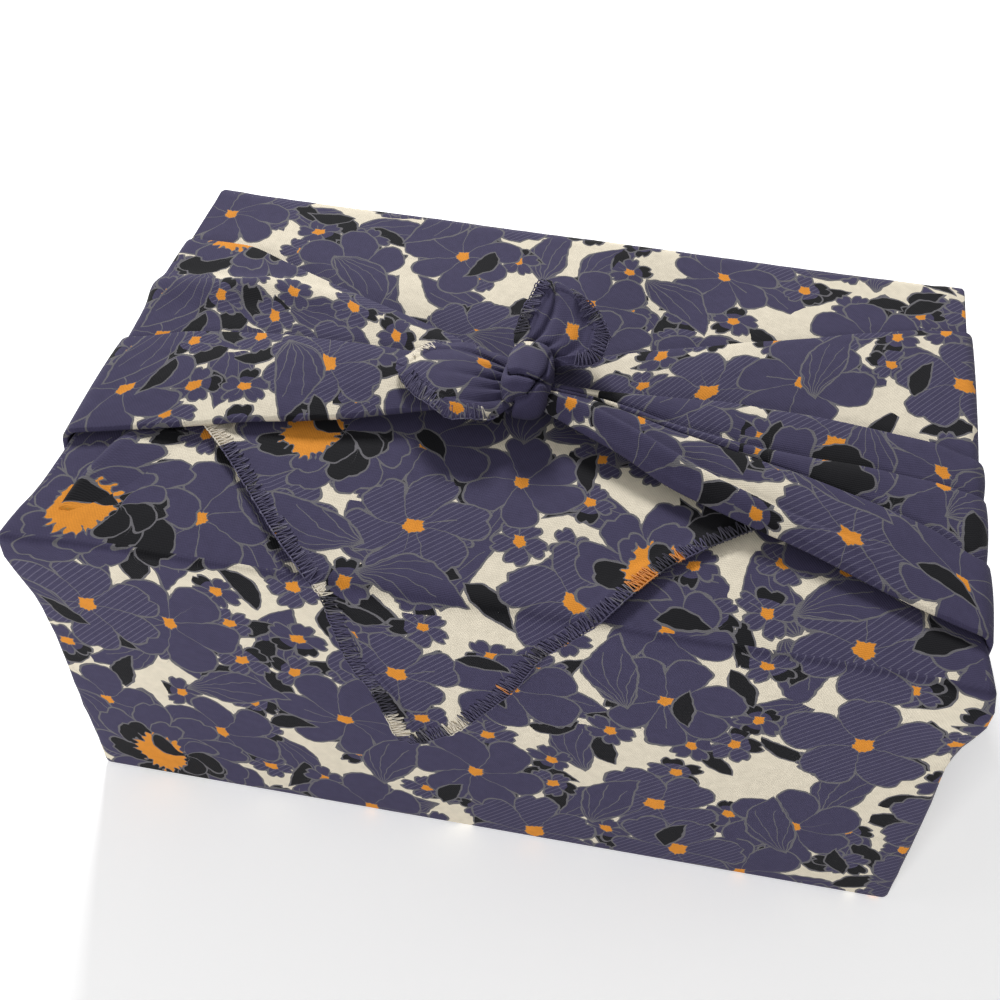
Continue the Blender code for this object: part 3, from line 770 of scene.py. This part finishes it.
def strip(pile, side, rows, back, front, flatAt, crest=None):
    # one strip of a band: a rolled fold at its back edge, then down and forward under the
    # next strip's fold, or to the band's own turned-under front edge
    ways = np.concatenate((np.arange(rows[0]["way"], -8, 6.0), np.arange(-8, 10, 1.0),
                           np.arange(10, rows[-1]["way"], 2.0), [rows[-1]["way"]]))
    x, z, nx, nz = bandPath(side, ways)
    value = {key: through(rows, key, ways) for key in rows[0] if key != "way"}
    yBack, hBack = value[back], value["h" + back[1]]
    yFront, hFront = value[front], value["h" + front[1]]
    drop, last = value["drop"], front[0] == "e"
    grid, flat = [], []
    for i in range(len(ways)):
        wide = yBack[i] - yFront[i]
        roll = min(0.35 + 0.22 * drop[i], 0.16 * wide)
        tuck = min(3.0, 0.3 * wide)
        line = [(yBack[i] - tuck, hBack[i] - 2 * roll - 0.1)]
        for turn in np.linspace(-math.pi / 2, math.pi / 2, 8):
            line.append((yBack[i] - roll + roll * math.cos(turn), hBack[i] - roll + roll * math.sin(turn)))
        stop = yFront[i] if last else yFront[i] - min(2.5, 0.2 * wide)
        hStop = hFront[i] if last else hFront[i] - 1.5 * drop[i] - 0.3
        start = yBack[i] - roll
        for share in np.linspace(0, 1, 23)[1:]:
            y = start + (stop + roll * last - start) * share
            belly = 0.46 * drop[i] * math.sin(math.pi * share ** 0.8)
            h = hBack[i] + (hStop - hBack[i]) * share ** 1.6 + belly
            if crest:
                gap = y - value["c"][i]
                reach = crest["back"] if gap > 0 else crest["front"]
                reach *= 0.3 + 0.7 * min(1, wide / 40)
                h += value["hc"][i] * math.exp(-((gap / reach) ** 2))
            line.append((y, h))
        if last:
            for turn in np.linspace(math.pi / 2, 1.5 * math.pi, 8)[1:]:
                line.append((stop + roll + roll * math.cos(turn), hStop - roll + roll * math.sin(turn)))
            line.append((stop + roll + min(4.0, 0.25 * wide), hStop - 2 * roll - 0.1))
        line = np.array(line)
        lengths = np.concatenate(([0], np.cumsum(np.linalg.norm(np.diff(line, axis=0), axis=1))))
        grid.append([(x[i] + nx[i] * h, y, z[i] + nz[i] * h) for y, h in line])
        flat.append([(ways[i], flatAt - length) for length in lengths])
    grid, flat = np.array(grid), np.array(flat)
    chance = 11 + int(abs(flatAt))
    wave = ripple(flat[..., 0], flat[..., 1], 30, chance) * 0.2
    wave = wave + ripple(flat[..., 0] * 0.25, flat[..., 1], 7, chance + 1) * 0.10
    grid[..., 2] += wave * np.clip(ways / 20, 0, 1)[:, None]
    grid[..., 0] += side * wave * np.clip(-ways / 20, 0, 1)[:, None]
    pile.add(grid, flat * (-side, 1) + (side * clothAt["band"], 0), flip=side < 0)


def bandSheets(pile):
    strip(pile, -1, leftRows, "e0", "r1", 100, crest=dict(back=4.5, front=8.0))
    strip(pile, -1, leftRows, "r1", "e2", 72)
    strip(pile, 1, rightRows, "e0", "r1", 130)
    strip(pile, 1, rightRows, "r1", "r2", 60)
    strip(pile, 1, rightRows, "r2", "r3", 48)
    strip(pile, 1, rightRows, "r3", "e4", -15, crest=dict(back=2.0, front=9.0))


# the knot, millimetres above the flap; each crease lies in a plane through it
knotSet = dict(middle=(-3.6, -6.8, 10.8), half=(8.3, 12.4, 10.0), square=0.66)
knotCreases = (
    dict(across=(0.10, 0.74, 0.66), at=0.26, wide=0.06, deep=0.22, seen=(0, -0.67, 0.74), above=-0.1),
    dict(across=(0.77, -0.47, -0.43), at=0.34, wide=0.055, deep=0.22, seen=(-0.3, -0.9, -0.1), above=-0.3),
    dict(across=(0.97, 0.2, 0.15), at=0.84, wide=0.05, deep=0.08, seen=(0.6, -0.6, 0.4), above=0.3),
)
knotLobes = (
    dict(way=(0.0, 0.75, 0.65), reach=0.75, height=0.10),
    dict(way=(-0.50, -0.70, 0.50), reach=0.55, height=0.08),
    dict(way=(0.80, -0.50, 0.20), reach=0.55, height=0.09),
)


def knotSheet(pile):
    middle = np.array(knotSet["middle"]) + (0, 0, wrap["flapLevel"])
    half = np.array(knotSet["half"])
    tilt = np.linspace(-math.pi / 2, math.pi / 2, 48)[:, None]
    turn = np.linspace(0, 2 * math.pi, 81)[None, :]
    level = np.cos(tilt)
    way = np.stack((level * np.cos(turn), level * np.sin(turn), np.sin(tilt) + 0 * turn), axis=-1)
    scale = np.ones(way.shape[:2])
    for row in knotLobes:
        toward = np.array(row["way"]) / np.linalg.norm(row["way"])
        scale += row["height"] * np.exp(-((np.linalg.norm(way - toward, axis=-1) / row["reach"]) ** 2))
    for row in knotCreases:
        bend = 0.06 * np.sin(5 * way[..., 0] + 3 * way[..., 2] + row["at"] * 9)
        apart = (way @ np.array(row["across"]) - row["at"] + bend) / row["wide"]
        shown = np.clip((way @ np.array(row["seen"]) - row["above"]) * 6, 0, 1)
        groove = np.exp(-(apart ** 2)) + 0.35 * np.exp(-((apart / 2.5) ** 2)) * (apart < 0)
        scale -= row["deep"] * groove * shown
    round_ = np.sign(way) * np.abs(way) ** knotSet["square"]
    points = middle + half * round_ * scale[..., None]
    points[0], points[-1] = points[0].mean(axis=0), points[-1].mean(axis=0)
    apart = points - middle
    flat = np.stack((apart[..., 0], 0.7 * (apart[..., 1] + apart[..., 2])), axis=-1)
    pile.add(points, flat + clothAt["knot"])


def freeEnd(pile, rows, flatAt, folds, turned):
    # a free end of the cloth: a leaf between two edges, gathered where it leaves the knot
    middles = [dict(row, mx=(row["ax"] + row["bx"]) / 2, my=(row["ay"] + row["by"]) / 2) for row in rows]
    rows = measured(middles, ("mx", "my", "z"))
    ways = np.linspace(0, rows[-1]["way"], 54)
    value = {key: through(rows, key, ways) for key in rows[0] if key != "way"}
    grid, flat = [], []
    total = rows[-1]["way"]
    for i, way in enumerate(ways):
        a = np.array((value["ax"][i], value["ay"][i], value["z"][i] + wrap["flapLevel"]))
        b = np.array((value["bx"][i], value["by"][i], value["z"][i] + wrap["flapLevel"]))
        wide = np.linalg.norm(b - a)
        shares = hemShares(44, min(0.3, wrap["hem"] / wide))
        apart = np.minimum(np.minimum(shares, 1 - shares) * wide, total - way + 1)
        lift = value["arch"][i] * (4 * shares * (1 - shares)) ** 0.8 + hemLift(apart)
        lift += value["tip"][i] * (shares - 0.5)
        for fold in folds:
            gap = (shares - fold["at"] - fold["lean"] * way / total) / fold["wide"]
            fade = math.exp(-((way / total / fold["run"]) ** 2)) if fold["run"] else 1
            lift -= fold["deep"] * np.exp(-(gap ** 2)) * fade
        edge = np.exp(-apart / 3.0) * 0.7 * np.sin(way / 2.3 + 5 * (shares > 0.5) + 2 * shares)
        lift = lift + edge * min(1, way / 8)
        row = a + (b - a) * shares[:, None]
        row[:, 2] += lift
        grid.append(row)
        pair = ((shares - 0.5) * wide, way + 0 * shares)
        flat.append(np.stack((-pair[1], -pair[0]) if turned else pair, axis=-1))
    grid, flat = np.array(grid), np.array(flat) + flatAt
    pile.add(grid, flat)
    seen = slice(9, 52)
    hemPaths.append(hemPath(grid[seen], flat[seen], 0, 3, 0.2))
    hemPaths.append(hemPath(grid[seen], flat[seen], -1, -4, 0.3))


sideEnd = table("ax ay bx by z arch tip",
    (-7.0, 1.0, -5.0, -14.0, 9.0, 2.0, 0),
    (-13.0, 4.0, -8.0, -20.5, 9.5, 3.0, 0),
    (-19.3, 6.0, -12.5, -26.0, 10.2, 4.2, 0),
    (-25.0, 6.8, -18.0, -29.0, 10.7, 5.0, 0),
    (-31.0, 7.2, -24.5, -29.5, 11.0, 4.8, 0.5),
    (-37.0, 6.5, -30.5, -27.5, 11.0, 3.8, 1.0),
    (-42.5, 2.5, -36.5, -23.0, 10.8, 2.6, 1.0),
    (-46.5, -2.0, -42.5, -17.0, 10.6, 1.4, 0.5),
    (-49.0, -5.0, -48.3, -10.5, 10.4, 0.5, 0))
upperEnd = table("ax ay bx by z arch tip",
    (-9.0, 1.5, 1.6, -1.0, 13.0, 1.5, 0),
    (-11.5, 8.5, 10.5, -1.5, 16.0, 2.2, 0),
    (-10.8, 15.5, 20.0, 3.0, 17.5, 2.8, 0),
    (-9.8, 21.5, 20.8, 10.5, 19.4, 2.6, 0),
    (-8.7, 26.0, 17.8, 17.0, 21.2, 2.2, 0),
    (-7.2, 29.5, 11.0, 24.0, 22.8, 1.4, 0),
    (-5.2, 32.3, 3.3, 30.1, 24.2, 0.5, 0))
# creases of a free end: place and lean across it, width, depth, how far it runs (0 for all the way)
sideFolds = table("at lean wide deep run",
    (0.22, -0.05, 0.05, 2.0, 0.42),
    (0.38, 0.02, 0.035, 1.7, 0.26),
    (0.52, 0.04, 0.04, 2.2, 0.36),
    (0.66, 0.08, 0.04, 1.7, 0.28),
    (0.80, 0.10, 0.05, 2.0, 0.34))
upperFolds = table("at lean wide deep run",
    (0.27, 0.10, 0.035, 1.5, 0),
    (0.50, 0.05, 0.05, 1.6, 0.30),
    (0.72, 0.0, 0.06, 2.2, 0.36),
    (0.90, -0.05, 0.07, 1.8, 0.40))


# where the layer under the front left corner stops, on the top; a crisp edge facing left
cornerRows = table("x y out rise",
    (-128.5, -41.0, 30, 0.6),
    (-131.0, -47.0, 30, 2.0),
    (-134.0, -56.0, 28, 2.6),
    (-136.6, -67.0, 24, 2.6),
    (-138.0, -76.0, 18, 1.4),
    (-138.6, -83.0, 10, 0.2))


def cornerSheet(pile):
    rows = measured(cornerRows, ("x", "y"))
    ways = np.linspace(0, rows[-1]["way"], 24)
    value = {key: through(rows, key, ways) for key in rows[0] if key != "way"}
    shares = np.linspace(0, 1, 16)
    x = value["x"][:, None] + value["out"][:, None] * shares
    y = value["y"][:, None] + 0 * shares
    z = wrap["top"] + 0.25 + value["rise"][:, None] * (1 - shares) ** 2 - 1.2 * shares ** 2
    z[:, 0] -= 0.5 * value["rise"]
    slide = 7.0 * (1 - shares) ** 2
    flat = np.stack((x + slide, y + clothAt["corner"] + slide * 0.6), axis=-1)
    pile.add(np.stack((x, y, z), axis=-1), flat, flip=True)


pile = sheetPile()
bodySheets(pile)
flapSheet(pile)
bandSheets(pile)
cornerSheet(pile)
knotSheet(pile)
freeEnd(pile, sideEnd, clothAt["sideEnd"], sideFolds, turned=True)
freeEnd(pile, upperEnd, clothAt["upperEnd"], upperFolds, turned=False)
cloth = pile.mesh("furoshikiCloth")
thicken = cloth.modifiers.new("thickness", "SOLIDIFY")
thicken.thickness, thicken.offset = wrap["cloth"] * mm, -1.0
print("cloth made:", len(cloth.data.polygons), "faces")


def threadTube(shape, course, radius, sides=5):
    # a thin tube along a short course of points, closed at both ends
    course = [Vector(point) for point in course]
    rings = []
    for i, point in enumerate(course):
        along = (course[min(i + 1, len(course) - 1)] - course[max(i - 1, 0)]).normalized()
        across = along.orthogonal().normalized()
        upright = along.cross(across)
        ring = []
        for k in range(sides):
            turn = 2 * math.pi * k / sides
            spoke = across * math.cos(turn) + upright * math.sin(turn)
            ring.append(shape.verts.new(point + spoke * radius))
        rings.append(ring)
    for ring, after in zip(rings, rings[1:]):
        for k in range(sides):
            shape.faces.new((ring[k], ring[(k + 1) % sides], after[(k + 1) % sides], after[k]))
    shape.faces.new(list(reversed(rings[0])))
    shape.faces.new(rings[-1])


def oneStitch():
    # X runs in from the rim, Y along the edge, Z out of the cloth; millimetres turned to metres
    reach, pitch, radius = stitchSet["reach"], stitchSet["pitch"], stitchSet["thread"]
    shape = bmesh.new()
    inward = ((-0.35, 0, -0.5), (-0.3, 0, 0.12), (0.3, 0.05, 0.28), (reach * 0.5, 0.3, 0.36),
              (reach - 0.3, 0.65, 0.28), (reach, 0.75, -0.05))
    returning = ((reach, 0.75, 0.0), (reach - 0.4, 0.9, 0.28), (reach * 0.5, 1.1, 0.34), (0.4, pitch, 0.28),
                 (-0.3, pitch + 0.1, 0.1))
    rim = ((-0.3, -0.2, 0.1), (-0.45, pitch * 0.5, 0.2), (-0.3, pitch + 0.2, 0.1))
    threadTube(shape, inward, radius)
    threadTube(shape, returning, radius)
    threadTube(shape, rim, radius * 1.1)
    bmesh.ops.recalc_face_normals(shape, faces=shape.faces)
    bmesh.ops.scale(shape, vec=(mm, mm, mm), verts=shape.verts)
    mesh = bpy.data.meshes.new("oneStitch")
    shape.to_mesh(mesh)
    shape.free()
    mesh.shade_smooth()
    return bpy.data.objects.new("oneStitch", mesh)


def stitchTree():
    # one stitch on every place along the hems, turned with the edge and a little uneven
    inputs = "Places:Geometry Stitch:Object Thread:Material Uneven Seed:Int"
    tree, give, take = newGroup("overlockStitches", inputs, "Stitches:Geometry", "Geometry")
    feed = nodeHand(tree)[0]

    def named(title):
        node = tree.nodes.new("GeometryNodeInputNamedAttribute")
        node.data_type = "FLOAT_VECTOR"
        node.inputs["Name"].default_value = title
        return node.outputs["Attribute"]

    axes = tree.nodes.new("FunctionNodeAxesToRotation")
    axes.primary_axis, axes.secondary_axis = "X", "Z"
    feed(axes.inputs[0], named("inward"))
    feed(axes.inputs[1], named("face"))
    sway = tree.nodes.new("FunctionNodeRandomValue")
    sway.data_type = "FLOAT_VECTOR"
    feed(sway.inputs["Seed"], give["Seed"])
    for socket, sign in ((sway.inputs[0], -1), (sway.inputs[1], 1)):
        size = tree.nodes.new("ShaderNodeVectorMath")
        size.operation = "SCALE"
        size.inputs[0].default_value = (0.25 * sign, 0.25 * sign, sign)
        feed(size.inputs["Scale"], give["Uneven"])
        feed(socket, size.outputs[0])
    swung = tree.nodes.new("FunctionNodeEulerToRotation")
    feed(swung.inputs[0], sway.outputs[0])
    turned = tree.nodes.new("FunctionNodeRotateRotation")
    turned.rotation_space = "LOCAL"
    feed(turned.inputs[0], axes.outputs[0])
    feed(turned.inputs[1], swung.outputs[0])
    length = tree.nodes.new("FunctionNodeRandomValue")
    length.data_type = "FLOAT_VECTOR"
    length.inputs[0].default_value = (0.8, 0.95, 0.85)
    length.inputs[1].default_value = (1.08, 1.05, 1.25)
    feed(length.inputs["Seed"], give["Seed"])
    source = tree.nodes.new("GeometryNodeObjectInfo")
    feed(source.inputs["Object"], give["Stitch"])
    place = tree.nodes.new("GeometryNodeInstanceOnPoints")
    feed(place.inputs["Points"], give["Places"])
    feed(place.inputs["Instance"], source.outputs["Geometry"])
    feed(place.inputs["Rotation"], turned.outputs[0])
    feed(place.inputs["Scale"], length.outputs[0])
    real = tree.nodes.new("GeometryNodeRealizeInstances")
    feed(real.inputs[0], place.outputs[0])
    keep = tree.nodes.new("GeometryNodeStoreNamedAttribute")
    keep.data_type, keep.domain = "FLOAT2", "CORNER"
    keep.inputs["Name"].default_value = "cloth"
    feed(keep.inputs["Geometry"], real.outputs[0])
    feed(keep.inputs["Value"], named("flat"))
    dress = tree.nodes.new("GeometryNodeSetMaterial")
    feed(dress.inputs["Geometry"], keep.outputs[0])
    feed(dress.inputs["Material"], give["Thread"])
    feed(take[0], dress.outputs[0])
    return tree


def makeStitches():
    gathered = {key: np.concatenate([path[key] for path in hemPaths]) for key in hemPaths[0]}
    mesh = bpy.data.meshes.new("stitchPlaces")
    mesh.from_pydata((gathered["place"] * mm).tolist(), [], [])
    for key in ("inward", "face", "flat"):
        values = gathered[key]
        if key == "flat":
            values = np.column_stack((values * mm, np.zeros(len(values))))
        layer = mesh.attributes.new(key, "FLOAT_VECTOR", "POINT")
        layer.data.foreach_set("vector", np.asarray(values, np.float32).ravel())
    places = bpy.data.objects.new("stitchPlaces", mesh)
    bpy.context.scene.collection.objects.link(places)
    stitch = oneStitch()
    tree = stitchTree()
    maker = places.modifiers.new("overlock", "NODES")
    maker.node_group = tree
    inputs = dict(Stitch=stitch, Thread=overlock, Uneven=stitchSet["uneven"], Seed=stitchSet["seed"])
    for title, value in inputs.items():
        maker[tree.interface.items_tree[title].identifier] = value
    graph = bpy.context.evaluated_depsgraph_get()
    made = bpy.data.meshes.new_from_object(places.evaluated_get(graph))
    made.name = "overlockStitches"
    places.modifiers.remove(maker)
    bpy.data.objects.remove(places)
    bpy.data.objects.remove(stitch)
    stitches = bpy.data.objects.new("overlockStitches", made)
    bpy.context.scene.collection.objects.link(stitches)
    return stitches


stitches = makeStitches()
print("stitches made:", len(stitches.data.polygons), "faces")

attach(cloth, "root")
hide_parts("furoshiki_cloth")
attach(stitches, "root")
